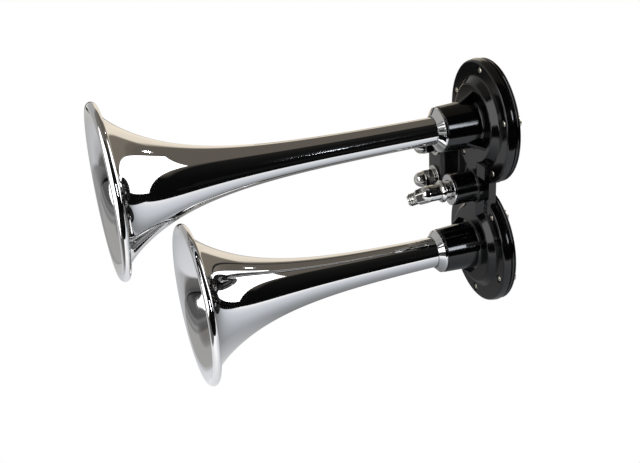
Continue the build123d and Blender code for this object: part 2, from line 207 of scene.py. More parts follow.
def drawn(name, outline):
    """Loose closed outline of edges in the XY plane, from corners in millimetres, left in edit mode."""
    deselect()
    bpy.ops.mesh.primitive_plane_add(size=MM)
    piece = named(name)
    bpy.ops.object.mode_set(mode="EDIT")
    bpy.ops.mesh.select_all(action="SELECT")
    bpy.ops.mesh.merge(type="CENTER")
    bpy.ops.transform.translate(value=Vector((outline[0][0], outline[0][1], 0)) * MM)
    last = outline[0]
    for corner in list(outline[1:]) + [outline[0]]:
        step = Vector((corner[0] - last[0], corner[1] - last[1], 0)) * MM
        bpy.ops.mesh.extrude_region_move(TRANSFORM_OT_translate={"value": step})
        last = corner
    bpy.ops.mesh.select_all(action="SELECT")
    bpy.ops.mesh.remove_doubles(threshold=MM / 1000)
    bpy.ops.mesh.select_all(action="SELECT")
    return piece


def extruded(name, outline, z0, z1):
    """Prism from an outline in the XY plane, between two heights in millimetres."""
    piece = drawn(name, outline)
    bpy.ops.mesh.edge_face_add()
    bpy.ops.transform.translate(value=(0, 0, z0 * MM))
    bpy.ops.mesh.extrude_region_move(TRANSFORM_OT_translate={"value": (0, 0, (z1 - z0) * MM)})
    bpy.ops.mesh.select_all(action="SELECT")
    bpy.ops.mesh.normals_make_consistent(inside=False)
    bpy.ops.object.mode_set(mode="OBJECT")
    return piece


def placed(piece, offset, turn=(0, 0, 0)):
    """Turns a piece by angles in degrees, moves it by millimetres and bakes both into its mesh."""
    make_active(piece)
    piece.rotation_euler = [math.radians(angle) for angle in turn]
    piece.location = Vector(offset) * MM
    bpy.ops.object.transform_apply(location=True, rotation=True, scale=True)
    return piece


def turned(name, outline, centre, steps=96):
    """Piece turned about a Y axis through centre, from (radius, y) corners in millimetres."""
    piece = drawn(name, outline)
    middle = (centre[0] * MM, 0, centre[1] * MM)
    bpy.ops.transform.translate(value=middle)
    bpy.ops.mesh.spin(steps=steps, angle=2 * math.pi, center=middle, axis=(0, 1, 0))
    bpy.ops.mesh.select_all(action="SELECT")
    bpy.ops.mesh.remove_doubles(threshold=MM / 1000)
    bpy.ops.mesh.normals_make_consistent(inside=False)
    bpy.ops.object.mode_set(mode="OBJECT")
    return piece


def rod(name, radius, y0, y1, centre, steps):
    """Plain cylinder along Y."""
    return turned(name, [(0, y0), (radius, y0), (radius, y1), (0, y1)], centre, steps)


def hex_bar(name, across_flats, y0, y1, centre, chamfer=0.0):
    """Hexagonal bar along Y with a flat facing +X, its corners turned down by the chamfer at both ends."""
    deselect()
    bpy.ops.mesh.primitive_cylinder_add(
        vertices=6, radius=across_flats / math.sqrt(3) * MM, depth=(y1 - y0) * MM,
        location=(centre[0] * MM, (y0 + y1) / 2 * MM, centre[1] * MM), rotation=(math.pi / 2, 0, 0))
    bpy.ops.object.transform_apply(location=True, rotation=True, scale=True)
    bar = named(name)
    if chamfer:
        corner = across_flats / math.sqrt(3) + 0.05
        edge = across_flats / 2 - 0.1
        drop = (corner - edge) * chamfer
        outline = [(0, y0 - 0.1), (edge - 0.1 / chamfer, y0 - 0.1), (corner, y0 + drop), (corner, y1 - drop),
                   (edge - 0.1 / chamfer, y1 + 0.1), (0, y1 + 0.1)]
        cut(bar, turned(name + " chamfer", outline, centre, 72), "INTERSECT")
    return bar


def cut(piece, tool, operation="DIFFERENCE"):
    """Boolean of two solids. The tool is used up."""
    boolean = piece.modifiers.new("Cut", "BOOLEAN")
    boolean.operation = operation
    boolean.solver = "EXACT"
    boolean.object = tool
    apply_modifiers(piece)
    bpy.data.objects.remove(tool)
    if not piece.data.polygons:
        raise RuntimeError("nothing was left of " + piece.name)
    return piece


def keep_flats_flat(piece, degrees=30):
    """Smooth shading between shallow angles that leaves large flat faces flat."""
    smooth(piece, degrees)
    weighted = piece.modifiers.new("Weighted", "WEIGHTED_NORMAL")
    weighted.keep_sharp = True
    weighted.weight = 100
    apply_modifiers(piece)
    return piece


def on_circle(radius, degrees, centre):
    """Place on a circle about a horn's axis, where 0 degrees is +X and 90 degrees is +Z."""
    turn = math.radians(degrees)
    return (centre[0] + radius * math.cos(turn), centre[1] + radius * math.sin(turn))


def join(pieces, name):
    deselect()
    for piece in pieces:
        piece.select_set(True)
    bpy.context.view_layer.objects.active = pieces[0]
    bpy.ops.object.join()
    return named(name)


def copied(piece, offset, turn=(0, 0, 0)):
    """A copy with its own mesh, turned by degrees and moved by millimetres."""
    make_active(piece)
    bpy.ops.object.duplicate(linked=False)
    return placed(bpy.context.active_object, offset, turn)


def finish(piece, material, slot, *nodes):
    """Gives a piece its material and its body, and hides the construction nodes it stands for."""
    piece.data.materials.clear()
    piece.data.materials.append(material)
    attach(piece, "root")
    if nodes:
        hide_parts(*nodes)


# --- Node groups shared by the materials ----------------------------------------
SMEAR_SCALE = 38.0
SPECK_EDGE = (0.74, 0.78)     # noise above which a speck of dust shows
SPECK_ROUGHNESS = 0.3


def feed(tree, socket, value):
    """Links a socket to another node's output, or sets it to a plain number or colour."""
    if isinstance(value, bpy.types.NodeSocket):
        tree.links.new(value, socket)
    elif isinstance(value, tuple):
        socket.default_value = (*value, 1)
    else:
        socket.default_value = value


def math_node(tree, operation, a, b=None):
    node = tree.nodes.new("ShaderNodeMath")
    node.operation = operation
    feed(tree, node.inputs[0], a)
    if b is not None:
        feed(tree, node.inputs[1], b)
    return node.outputs[0]


def noise_node(tree, vector, scale, detail=2.0, roughness=0.5):
    noise = tree.nodes.new("ShaderNodeTexNoise")
    for label, value in (("Vector", vector), ("Scale", scale), ("Detail", detail), ("Roughness", roughness)):
        feed(tree, noise.inputs[label], value)
    return noise.outputs["Fac"]


def range_node(tree, value, low, high, out_low, out_high):
    node = tree.nodes.new("ShaderNodeMapRange")
    labels = ("Value", "From Min", "From Max", "To Min", "To Max")
    for label, number in zip(labels, (value, low, high, out_low, out_high)):
        feed(tree, node.inputs[label], number)
    return node.outputs["Result"]


def mix_colour(tree, factor, a, b):
    mix = tree.nodes.new("ShaderNodeMix")
    mix.data_type = "RGBA"
    for label, value in (("Factor", factor), ("A", a), ("B", b)):
        feed(tree, mix.inputs[label], value)
    return mix.outputs["Result"]


def surface_group():
    """Handling marks: fine unevenness in the gloss, and a height for orange peel and dust specks."""
    name = "Handled Surface"
    if name in bpy.data.node_groups:
        return bpy.data.node_groups[name]
    group = bpy.data.node_groups.new(name, "ShaderNodeTree")
    group.interface.new_socket("Vector", in_out="INPUT", socket_type="NodeSocketVector")
    for label, value in (("Gloss", 0.1), ("Smear", 0.03), ("Peel Scale", 600.0), ("Speck Scale", 900.0),
                         ("Speck Amount", 0.0)):
        socket = group.interface.new_socket(label, in_out="INPUT", socket_type="NodeSocketFloat")
        socket.default_value = value
    given = group.nodes.new("NodeGroupInput").outputs
    smear = noise_node(group, given["Vector"], SMEAR_SCALE, 4.0, 0.6)
    centred = math_node(group, "SUBTRACT", smear, 0.5)
    rough = math_node(group, "ADD", math_node(group, "MULTIPLY", centred, given["Smear"]), given["Gloss"])
    peel = noise_node(group, given["Vector"], given["Peel Scale"], 1.0)
    speck = noise_node(group, given["Vector"], given["Speck Scale"], 0.0)
    dots = range_node(group, speck, *SPECK_EDGE, 0.0, 1.0)
    dots = math_node(group, "MULTIPLY", dots, given["Speck Amount"])
    dusty = math_node(group, "ADD", rough, math_node(group, "MULTIPLY", dots, SPECK_ROUGHNESS))
    results = {"Roughness": dusty, "Height": peel, "Specks": dots}
    for label in results:
        group.interface.new_socket(label, in_out="OUTPUT", socket_type="NodeSocketFloat")
    end = group.nodes.new("NodeGroupOutput")
    for label, result in results.items():
        group.links.new(result, end.inputs[label])
    return group


def new_material(name):
    material = bpy.data.materials.new(name)
    material.use_nodes = True
    return material, material.node_tree, material.node_tree.nodes["Principled BSDF"]


def handled(tree, shader, gloss, smear, peel_scale, peel_height, specks=0.0):
    """Joins the handled-surface group to a shader, and returns its node."""
    place = tree.nodes.new("ShaderNodeTexCoord")
    group = tree.nodes.new("ShaderNodeGroup")
    group.node_tree = surface_group()
    values = (("Gloss", gloss), ("Smear", smear), ("Peel Scale", peel_scale), ("Speck Amount", specks))
    for label, value in values:
        group.inputs[label].default_value = value
    tree.links.new(place.outputs["Object"], group.inputs["Vector"])
    tree.links.new(group.outputs["Roughness"], shader.inputs["Roughness"])
    bump = tree.nodes.new("ShaderNodeBump")
    bump.inputs["Strength"].default_value = 1.0
    bump.inputs["Distance"].default_value = peel_height * MM
    tree.links.new(group.outputs["Height"], bump.inputs["Height"])
    tree.links.new(bump.outputs["Normal"], shader.inputs["Normal"])
    return group


def coated(name, colour, speck, marks, **inputs):
    """Material with pale dust specks and handling marks: gloss, smear, peel scale, peel height and specks."""
    if name in bpy.data.materials:
        return bpy.data.materials[name]
    material, tree, shader = new_material(name)
    for label, value in inputs.items():
        shader.inputs[label].default_value = value
    group = handled(tree, shader, *marks)
    base = mix_colour(tree, group.outputs["Specks"], tuple(colour), speck)
    tree.links.new(base, shader.inputs["Base Color"])
    return material


def plated(name, colour, gloss, peel_scale, peel_height):
    """Bright plated metal with an uneven, lightly tooled surface."""
    return coated(name, colour, (0.3, 0.28, 0.25), (gloss, 0.08, peel_scale, peel_height), Metallic=1.0)


def dull(name, colour, gloss, peel_scale, peel_height):
    """Rubber and fibre."""
    return coated(name, colour, (0.12, 0.11, 0.10), (gloss, 0.15, peel_scale, peel_height, 0.3))


def finish_settings():
    return bpy.context.scene.horn_finish


def chrome():
    marks = (0.035, 0.03, 90.0, 0.0006)
    return coated("Chrome Plating", finish_settings().chrome, (0.5, 0.5, 0.5), marks, Metallic=1.0)


def enamel():
    marks = (finish_settings().enamel_gloss, 0.05, 900.0, 0.0015, 0.05)
    return coated("Black Enamel", finish_settings().enamel, (0.2, 0.19, 0.18), marks, IOR=1.45)


def black_steel():
    marks = (0.28, 0.08, 1400.0, 0.004, 0.15)
    return coated("Black Steel Plate", (0.006, 0.006, 0.0065), (0.15, 0.14, 0.13), marks, IOR=1.45)


def fitting_metal():
    return plated("Fitting Plating", (0.66, 0.65, 0.63), 0.09, 500.0, 0.012)


def forged_metal():
    return plated("Forged Fitting Plating", (0.66, 0.65, 0.63), 0.07, 420.0, 0.05)


def zinc():
    return plated("Zinc Plating", finish_settings().zinc, 0.24, 900.0, 0.01)


def spring_steel():
    return plated("Spring Steel", (0.42, 0.42, 0.43), 0.3, 700.0, 0.004)


def rubber():
    return dull("Seal Rubber", (0.012, 0.012, 0.012), 0.6, 1200.0, 0.01)


def fibre():
    return dull("Gasket Fibre", (0.05, 0.042, 0.035), 0.8, 2500.0, 0.02)


# --- Trumpets and collars ----------------------------------------
def axis_of(half):
    """Where a horn's axis crosses the XZ plane, in millimetres."""
    return (AXIS_X, SIDE[half] * AXIS_Z)


FLARES = {"upper": dict(throat=9.95, flare=45.1, decay=45.7, curl=4.8),
          "lower": dict(throat=11.0, flare=43.1, decay=46.0, curl=3.9)}
CURL_DECAY = 4.0
FOOT_LIMIT = 8.0              # furthest behind the lip that the bead can meet the flare
THROAT_WALL = 2.6
WALL_DECAY = 40.0
ROLL_DECAY = 7.0              # how quickly the inside leaves the rolled lip
FLARE_STEPS = 72
LIP_STEPS = 36
COLLAR_FRONT = FACE - 37.6
COLLAR_R = 16.8
SPIGOT_R = 14.4               # part of the collar that screws into the socket
SPIGOT_END = FACE - 21.2
TAIL_END = FACE - 8.0


def flare_radius(flare, s):
    """Outer radius of a trumpet, a distance s behind the middle of its lip."""
    bell = flare["flare"] * math.exp(-s / flare["decay"])
    return flare["throat"] + bell + flare["curl"] * math.exp(-s / CURL_DECAY)


def flare_slope(flare, s):
    bell = flare["flare"] / flare["decay"] * math.exp(-s / flare["decay"])
    return -bell - flare["curl"] / CURL_DECAY * math.exp(-s / CURL_DECAY)


def tail_radius(half):
    """Outer radius of a trumpet's straight tail."""
    lip_y = LIP_FRONT[half] + bpy.context.scene.horn_trumpets.bead
    return flare_radius(FLARES[half], COLLAR_FRONT - lip_y)


def lip_foot(flare, middle, lip_y):
    """Distance behind the lip at which the sheet passes square to the middle of the bead."""
    s = 0.0
    while s < FOOT_LIMIT:
        across = middle.x - flare_radius(flare, s)
        along = middle.y - lip_y - s
        if across * flare_slope(flare, s) + along <= 0:
            return s
        s += 0.01
    raise RuntimeError("the bead does not sit on the flare")


def trumpet_outline(flare, lip_radius, lip_y, bead, wall):
    """Section of the sheet: outside, round the rolled lip, and back down the inside."""
    length = COLLAR_FRONT - lip_y
    middle = Vector((lip_radius - bead, lip_y))
    foot = lip_foot(flare, middle, lip_y)
    slope = flare_slope(flare, foot)
    front = Vector((-1, slope)).normalized()
    full = bead + (middle - Vector((flare_radius(flare, foot), lip_y + foot))).dot(front)
    outer = []
    inner = []
    for i in range(FLARE_STEPS + 1):
        s = foot + (length - foot) * (i / FLARE_STEPS) ** 2
        slope = flare_slope(flare, s)
        thick = THROAT_WALL + (wall - THROAT_WALL) * math.exp(-(s / WALL_DECAY) ** 2 / 2)
        thick += (full - thick) * math.exp(-((s - foot) / ROLL_DECAY) ** 2)
        at = Vector((flare_radius(flare, s), lip_y + s))
        outer.append(at)
        inner.append(at + thick * Vector((-1, slope)).normalized())
    outer = [p for p in outer if (p - middle).length > bead and p.y > lip_y]
    start = math.atan2(outer[0].y - middle.y, outer[0].x - middle.x)
    stop = math.atan2(front.y, front.x)
    lip = []
    for i in range(1, LIP_STEPS):
        angle = start + (stop - start) * i / LIP_STEPS
        lip.append(middle + bead * Vector((math.cos(angle), math.sin(angle))))
    tail = [Vector((inner[-1].x, TAIL_END)), Vector((outer[-1].x, TAIL_END))]
    return [tuple(p) for p in outer[::-1] + lip + inner + tail]


class HORN_OT_add_trumpets(bpy.types.Operator):
    """Add the two chromed trumpets, each one thin sheet with a rolled lip"""

    bl_idname = "horn.add_trumpets"
    bl_label = "Add Trumpets"

    def execute(self, context):
        sizes = context.scene.horn_trumpets
        lips = {"upper": sizes.upper_lip, "lower": sizes.lower_lip}
        for half in HALVES:
            lip_y = LIP_FRONT[half] + sizes.bead
            outline = trumpet_outline(FLARES[half], lips[half], lip_y, sizes.bead, sizes.wall)
            piece = turned(half + "_trumpet_sheet", outline, axis_of(half), sizes.steps)
            smooth(piece, 40)
            finish(piece, chrome(), "chrome", half + "_trumpet")
        return {"FINISHED"}


class HORN_OT_add_collars(bpy.types.Operator):
    """Add the conical collars that hold the trumpets in their sockets"""

    bl_idname = "horn.add_collars"
    bl_label = "Add Collars"

    def execute(self, context):
        for half in HALVES:
            tail = tail_radius(half)
            outline = [(tail + 0.02, FACE - 37.0), (tail + 0.35, COLLAR_FRONT), (tail + 1.1, COLLAR_FRONT),
                       (COLLAR_R, FACE - 33.8), (COLLAR_R, FACE - 32.75), (16.2, FACE - 32.5),
                       (16.2, FACE - 32.0), (SPIGOT_R, FACE - 31.8), (SPIGOT_R, SPIGOT_END),
                       (tail + 0.02, SPIGOT_END)]
            outline = rounded(outline, {2: 0.25, 3: 0.3, 4: 0.25})
            piece = turned(half + "_collar_ring", outline, axis_of(half), 160)
            keep_flats_flat(piece, 40)
            finish(piece, chrome(), "chrome", half + "_collar")
        return {"FINISHED"}


# --- Housing and covers ----------------------------------------
# The y values of the sections below are distances behind the flanges' front plane.
COVER_DEPTH = 10.8
PLATEAU = FACE - 5.0
BODY_END = FACE + BODY_DEPTH
BORE_R = 6.4                  # throat that leads into the trumpet
DISC_R = 47.3
SOCKET_R = 17.1
SOCKET_TOP = -32.0
TAIL_BORE_R = 14.5
WEB_DEPTH = (-6.17, -0.02)
WEB_OUTLINE = [(20, 9), (23, 11.7), (23, 18), (-23, 18), (-23, 11.7), (-20, 9),
               (-20, -9), (-23, -11.7), (-23, -18), (23, -18), (23, -11.7), (20, -9)]
CHANNEL_SECTION = [(-12.4, 0.5), (-12.0, 0.0), (-8.5, -4.98), (8.5, -4.98), (12.0, 0.0), (12.4, 0.5)]
CHANNEL_HALF = 24.5           # half length of the raised air channel
BOSS_R = 12.3
BOSS_TOP = -22.5
NIPPLE_HOLE_R = 7.1
COVER_R = 46.8
VENT_R = 1.5
VENT_DROP = 20.0
RIB_ANGLES = (90, -30, -150)
SCREW_ANGLES = (90, 162, 234, 306, 18)
SCREW_CIRCLE = 40.5
SCREW_HOLE_R = 2.6
SCREW_SINK_R = 3.3


def disc_outline(tail):
    """Section of one horn's body: flange, plateau and socket, with the bore for the trumpet's tail."""
    corners = [(BORE_R, BODY_DEPTH), (46.9, BODY_DEPTH), (DISC_R, 5.7), (DISC_R, 4.9), (47.15, 3.7),
               (46.9, 2.7), (46.5, 0.0), (34.5, 0.0), (30.0, -5.0), (18.4, -5.0), (SOCKET_R, SOCKET_TOP),
               (TAIL_BORE_R, SOCKET_TOP), (TAIL_BORE_R, -21.0), (tail, -21.0), (tail, -6.0), (BORE_R, -6.0)]
    radii = {6: 1.9, 7: 2.2, 8: 2.6, 9: 2.1, 10: 1.0}
    return [(r, FACE + y) for r, y in rounded(corners, radii, 8)]


def add_ribs(half):
    """The three gussets between a socket and its plateau."""
    outline = [(15.5, PLATEAU + 1.5), (26.2, PLATEAU + 1.5), (25.6, PLATEAU - 0.3), (17.9, FACE - 16.6),
               (15.5, FACE - 17.4)]
    rib = extruded("rib", rounded(outline, {2: 0.5, 3: 1.0}), -1.5, 1.5)
    round_edges(rib, 0.4, 2)
    centre = axis_of(half)
    ribs = [copied(rib, (centre[0], 0, centre[1]), (0, -SIDE[half] * angle, 0)) for angle in RIB_ANGLES]
    bpy.data.objects.remove(rib)
    return ribs


def screw_holes(half):
    """Tools that cut the five countersunk screw holes of one disc."""
    outline = [(0, FACE - 1), (SCREW_SINK_R, FACE - 1), (SCREW_SINK_R, FACE + 0.7),
               (SCREW_HOLE_R, FACE + 0.9), (SCREW_HOLE_R, BODY_END + 1), (0, BODY_END + 1)]
    tools = []
    for angle in SCREW_ANGLES:
        place = on_circle(SCREW_CIRCLE, SIDE[half] * angle, axis_of(half))
        tools.append(turned("hole", outline, place, 40))
    return tools


class HORN_OT_add_housing(bpy.types.Operator):
    """Add the black housing with its two discs, sockets, web, air channel and inlet boss"""

    bl_idname = "horn.add_housing"
    bl_label = "Add Housing"

    def execute(self, context):
        halves = []
        ribs = []
        holes = []
        for half in HALVES:
            halves.append(turned("disc", disc_outline(tail_radius(half) + 0.05), axis_of(half), 200))
            ribs += add_ribs(half)
            holes += screw_holes(half)
        piece = join(halves, "housing_casting")
        plate = extruded("web", WEB_OUTLINE, *WEB_DEPTH)
        round_edges(plate, 0.8, 3)
        cut(piece, placed(plate, (AXIS_X, FACE, 0), (90, 0, 0)), "UNION")
        section = rounded(CHANNEL_SECTION, {2: 1.2, 3: 1.2})
        channel = extruded("channel", section, -CHANNEL_HALF, CHANNEL_HALF)
        cut(piece, placed(channel, (AXIS_X, FACE, 0)), "UNION")
        cut(piece, join(ribs, "ribs"), "UNION")
        boss = rounded([(0, 3), (14.4, 3), (14.4, -5.05), (BOSS_R, -5.05), (BOSS_R, BOSS_TOP),
                        (NIPPLE_HOLE_R, BOSS_TOP), (NIPPLE_HOLE_R, -13), (0, -13)], {2: 0.5, 3: 1.5, 4: 0.7})
        boss = [(r, FACE + y) for r, y in boss]
        cut(piece, turned("boss", boss, (AXIS_X, 0), 128), "UNION")
        cut(piece, join(holes, "holes"))
        keep_flats_flat(piece)
        finish(piece, enamel(), "black_enamel", "front_housing")
        return {"FINISHED"}


class HORN_OT_add_rear_covers(bpy.types.Operator):
    """Add the two rear covers, each with a rolled double rim and a vent hole"""

    bl_idname = "horn.add_rear_covers"
    bl_label = "Add Rear Covers"

    def execute(self, context):
        rim = [(0, 7.0), (45.5, 7.0), (46.5, 7.35), (COVER_R, 8.0), (46.6, 8.6), (46.0, 8.85), (46.0, 9.1),
               (46.65, 9.35), (COVER_R, 9.85), (46.5, 10.4), (45.6, COVER_DEPTH), (0, COVER_DEPTH)]
        radii = {2: 0.4, 3: 0.4, 4: 0.2, 7: 0.2, 8: 0.3, 9: 0.4, 10: 0.6}
        outline = [(r, FACE + y) for r, y in rounded(rim, radii, 4)]
        for half in HALVES:
            centre = axis_of(half)
            piece = turned(half + "_rear_cover_plate", outline, centre, 200)
            cut(piece, rod("vent", VENT_R, FACE, FACE + 12, (centre[0], centre[1] - VENT_DROP), 32))
            keep_flats_flat(piece)
            finish(piece, enamel(), "black_enamel", half + "_rear_cover")
        return {"FINISHED"}


class HORN_OT_finish_inner_pieces(bpy.types.Operator):
    """Finish the diaphragms, gaskets and seals, which keep their construction shape"""

    bl_idname = "horn.finish_inner_pieces"
    bl_label = "Finish Inner Pieces"

    def execute(self, context):
        finishes = {"diaphragm": spring_steel(), "gasket": fibre(), "throat_seal": rubber()}
        for half in HALVES:
            for kind, material in finishes.items():
                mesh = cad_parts[half + "_" + kind].data
                mesh.materials.clear()
                mesh.materials.append(material)
        return {"FINISHED"}


def pan_screw(radius, tip, seat, head_radius, head_height):
    """Cross-recessed pan head screw along Y with its tip towards -Y, in millimetres."""
    top = seat + head_height
    corners = [(0, tip), (radius - 0.75, tip), (radius, tip + 0.75), (radius, seat), (head_radius, seat),
               (head_radius, top), (0, top)]
    screw = turned("screw", rounded(corners, {1: 0.3, 5: head_height * 0.8}), (0, 0), 48)
    arm = head_radius * 0.55
    bars = []
    for length, width in ((arm, 0.5), (0.5, arm)):
        outline = [(-length, -width), (length, -width), (length, width), (-length, width)]
        bars.append(placed(extruded("recess", outline, 0, head_height), (0, top + 0.6, 0), (90, 0, 0)))
    for bar in bars:
        cut(screw, bar)
    keep_flats_flat(screw, 35)
    return screw


class HORN_OT_add_cover_screws(bpy.types.Operator):
    """Add the ten screws of the rear covers and the two screws of the bracket"""

    bl_idname = "horn.add_cover_screws"
    bl_label = "Add Cover Screws"

    def execute(self, context):
        screw = pan_screw(2.45, FACE + 0.3, FACE + COVER_DEPTH, 4.4, 2.8)
        for half in HALVES:
            screws = []
            for i, angle in enumerate(SCREW_ANGLES):
                x, z = on_circle(SCREW_CIRCLE, SIDE[half] * angle, axis_of(half))
                screws.append(placed(copied(screw, (0, 0, 0), (0, 17 + 37 * i, 0)), (x, 0, z)))
            piece = join(screws, half + "_cover_screw_set")
            finish(piece, zinc(), "zinc", half + "_cover_screws")
        bpy.data.objects.remove(screw)
        small = pan_screw(1.95, FACE + 0.5, BODY_END + PLATE, 4.0, 2.6)
        pair = [copied(small, (AXIS_X + x, 0, 0)) for x in BRACKET_SCREWS_X]
        bpy.data.objects.remove(small)
        piece = join(pair, "bracket_screw_pair")
        finish(piece, zinc(), "zinc", "bracket_screws")
        return {"FINISHED"}


# --- Air inlet ----------------------------------------
BEND = FACE - 41.5
ELBOW_R = 6.4
NIPPLE_TOP = FACE - 28.9
NIPPLE_END = FACE - 13.0
LEG_DIRECTION = (-0.53, -0.735, -0.42)
LEG_LENGTH = 16.0             # bend to the end of the outlet
LEG_BODY = 9.3                # length of the six-sided body past the bend
LEG_TURN = 12                 # turn of its flats about the leg, degrees
OUTLET_BORE_R = 2.8


def thread_outline(root, crest, y0, y1, pitch):
    """Zigzag of thread crests between two heights, as (radius, y) corners."""
    count = round((y1 - y0) / pitch)
    step = (y1 - y0) / count
    corners = []
    for i in range(count):
        y = y0 + i * step
        corners += [(root, y), (root, y + 0.12 * step), (crest, y + 0.45 * step), (crest, y + 0.62 * step)]
    return corners + [(root, y1)]


class HORN_OT_add_inlet(bpy.types.Operator):
    """Add the washer and the threaded elbow of the air inlet"""

    bl_idname = "horn.add_inlet"
    bl_label = "Add Air Inlet"

    def execute(self, context):
        ring = [(7.6, FACE - 24), (12, FACE - 24), (12, FACE - 22.5), (7.6, FACE - 22.5)]
        washer = turned("inlet_washer_ring", rounded(ring, {0: 0.2, 1: 0.45, 2: 0.3}), (AXIS_X, 0), 128)
        keep_flats_flat(washer)
        finish(washer, chrome(), "chrome", "inlet_washer")

        nipple = [(0, NIPPLE_TOP)] + thread_outline(6.2, 7.0, NIPPLE_TOP, FACE - 13.6, 1.35)
        nipple += [(5.6, NIPPLE_END), (0, NIPPLE_END)]
        flange = rounded([(0, FACE - 32.2), (7.4, FACE - 32.2), (8.55, FACE - 30.9), (8.55, FACE - 29.4),
                          (7.9, FACE - 28.8), (0, FACE - 28.8)], {1: 0.5, 2: 0.9, 3: 0.5, 4: 0.3})
        elbow = turned("inlet_elbow_fitting", nipple, (AXIS_X, 0), 64)
        cut(elbow, turned("flange", flange, (AXIS_X, 0), 96), "UNION")
        trunk = rod("trunk", ELBOW_R, BEND, FACE - 32, (AXIS_X, 0), 12)
        round_edges(trunk, 0.8, 3, 20)
        cut(elbow, trunk, "UNION")
        deselect()
        bpy.ops.mesh.primitive_uv_sphere_add(segments=40, ring_count=24, radius=ELBOW_R * MM,
                                             location=Vector((AXIS_X, BEND, 0)) * MM)
        bpy.ops.object.transform_apply(location=True, rotation=True, scale=True)
        cut(elbow, named("knee"), "UNION")
        leg = [(0, 0.5), (6.3, 0.5), (6.75, -1.5), (6.3, -LEG_BODY + 1.0), (5.6, -LEG_BODY), (0, -LEG_BODY)]
        forged = turned("forged leg", leg, (0, 0), 6)
        round_edges(forged, 0.9, 3, 20)
        outlet = [(OUTLET_BORE_R, -LEG_BODY + 2), (4.2, -LEG_BODY + 2), (4.2, -LEG_BODY - 0.3)]
        outlet += thread_outline(4.15, 4.95, -LEG_LENGTH + 0.6, -LEG_BODY - 0.5, 1.75)[::-1]
        outlet += [(4.1, -LEG_LENGTH), (OUTLET_BORE_R, -LEG_LENGTH)]
        outlet = turned("outlet", outlet, (0, 0), 64)
        turn = Vector((0, -1, 0)).rotation_difference(Vector(LEG_DIRECTION)).to_euler()
        turn = [math.degrees(angle) for angle in turn]
        placed(forged, (0, 0, 0), (0, LEG_TURN, 0))
        cut(elbow, placed(forged, (AXIS_X, BEND, 0), turn), "UNION")
        cut(elbow, placed(outlet, (AXIS_X, BEND, 0), turn), "UNION")
        keep_flats_flat(elbow, 32)
        finish(elbow, forged_metal(), "plated_metal", "inlet_elbow")
        return {"FINISHED"}


# --- Bracket and fasteners ----------------------------------------
PLATE = 2.5
LEG_X = AXIS_X - 43.8
TONGUE_END = AXIS_X + 10
STRAP_LEFT = AXIS_X - 68.3
STRAP_HALF = 25.0
STRAP_CORNER = 6.0
COVER_CLEARANCE_R = 47.2      # how far the tongue keeps from the horns' axes
BRACKET_SCREWS_X = (-15, 6)
BOLT_R = 4.0
BOLT_HOLE_R = 4.3
ACROSS_FLATS = 13.0
WASHER_T = 2.0                # both the flat and the lock washer
NUT_H = 15.0
NUT_HEX_H = 7.4
DOME_R = 6.35


def bolt_centre(half):
    return (BOLT_X, SIDE[half] * BOLT_Z)


class HORN_OT_add_bracket(bpy.types.Operator):
    """Add the folded mounting bracket"""

    bl_idname = "horn.add_bracket"
    bl_label = "Add Bracket"

    def execute(self, context):
        outline = [(STRAP_LEFT, STRAP_FRONT), (LEG_X, STRAP_FRONT), (LEG_X, BODY_END), (TONGUE_END, BODY_END),
                   (TONGUE_END, BODY_END + PLATE), (LEG_X - PLATE, BODY_END + PLATE),
                   (LEG_X - PLATE, STRAP_FRONT + PLATE), (STRAP_LEFT, STRAP_FRONT + PLATE)]
        outline = rounded(outline, {1: 3.6, 2: 1.5, 5: 3.6, 6: 1.5}, 8)
        piece = extruded("mounting_bracket_plate", outline, -STRAP_HALF, STRAP_HALF)
        tools = []
        for half in HALVES:
            tools.append(rod("clearance", COVER_CLEARANCE_R, FACE - 40, FACE + 40, axis_of(half), 160))
            tools.append(rod("bolt hole", BOLT_HOLE_R, FACE - 40, FACE + 4, bolt_centre(half), 48))
        cut(piece, join(tools, "cuts"))
        for side in (1, -1):
            x, z = STRAP_LEFT - 1, side * (STRAP_HALF + 1)
            reach = STRAP_CORNER + 1
            corner = [(x, z), (x + reach, z)]
            for i in range(9):
                turn = math.radians(90 * i / 8)
                corner.append((x + reach - STRAP_CORNER * math.sin(turn),
                               z - side * (reach - STRAP_CORNER * math.cos(turn))))
            corner.append((x, z - side * reach))
            tool = extruded("corner", [(cx, -cz) for cx, cz in corner], -20, 20)
            cut(piece, placed(tool, (0, FACE, 0), (-90, 0, 0)))
        round_edges(piece, 0.35, 2, 40)
        keep_flats_flat(piece)
        finish(piece, black_steel(), "black_steel", "mounting_bracket")
        return {"FINISHED"}


def acorn_nut(seat, centre):
    """Domed nut with its hexagon standing on the plane y = seat, in millimetres."""
    nut = hex_bar("nut", ACROSS_FLATS, seat - NUT_HEX_H, seat, centre, 0.55)
    middle = seat - NUT_H + DOME_R
    dome = [(0, seat - 1), (DOME_R, seat - 1), (DOME_R, middle)]
    for i in range(1, 17):
        turn = math.radians(90 * i / 16)
        dome.append((DOME_R * math.cos(turn), middle - DOME_R * math.sin(turn)))
    cut(nut, turned("dome", dome, centre, 64), "UNION")
    return keep_flats_flat(nut, 30)


def split_washer(seat, centre):
    """Lock washer whose two ends stand slightly apart."""
    ring = [(4.1, seat - WASHER_T), (7.4, seat - WASHER_T), (7.4, seat), (4.1, seat)]
    piece = turned("lock washer", rounded(ring, {0: 0.3, 1: 0.45, 2: 0.45, 3: 0.3}), centre, 96)
    slot = extruded("slot", [(0, -0.8), (9, -0.8), (9, 0.8), (0, 0.8)], -6, 6)
    placed(slot, (0, 0, 0), (90, 0, 0))
    placed(slot, (centre[0], seat - WASHER_T / 2, centre[1]), (35, 0, 0))
    cut(piece, slot)
    return keep_flats_flat(piece)


